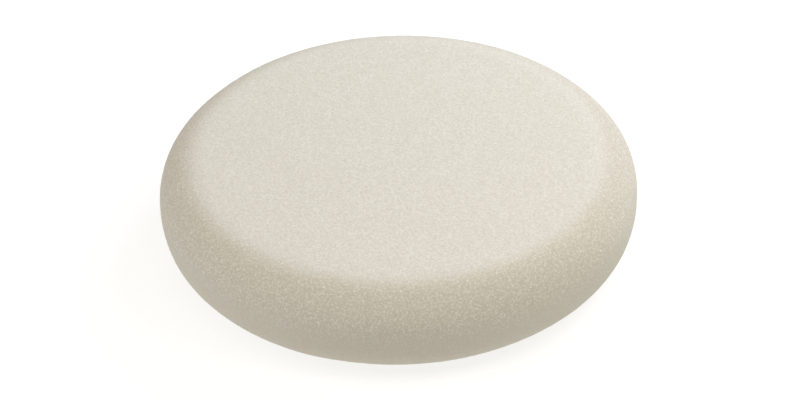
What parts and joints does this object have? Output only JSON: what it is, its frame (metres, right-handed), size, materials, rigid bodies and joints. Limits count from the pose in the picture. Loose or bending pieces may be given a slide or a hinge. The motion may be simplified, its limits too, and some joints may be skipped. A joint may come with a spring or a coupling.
{
  "type": "foam polishing pad",
  "caption": "Round soft foam polishing pad with well-rounded edges and a loop-fabric backing that grips a machine's hook plate.",
  "frame": {"origin": "centre of the backing's gripping face, at the tips of its loops", "axes": "+Z along the spin axis, out of the polishing face; X and Y are arbitrary, because the pad is round"},
  "size_m": [0.15, 0.15, 0.032],
  "materials": {
    "foam": "matte",
    "film": "satin",
    "knit": "matte",
    "loops": "satin"
  },
  "bodies": {
    "root": {"foam_disc": "foam", "bonding_film": "film", "knitted_backing": "knit", "loop_pile": "loops"}
  },
  "joints": []
}
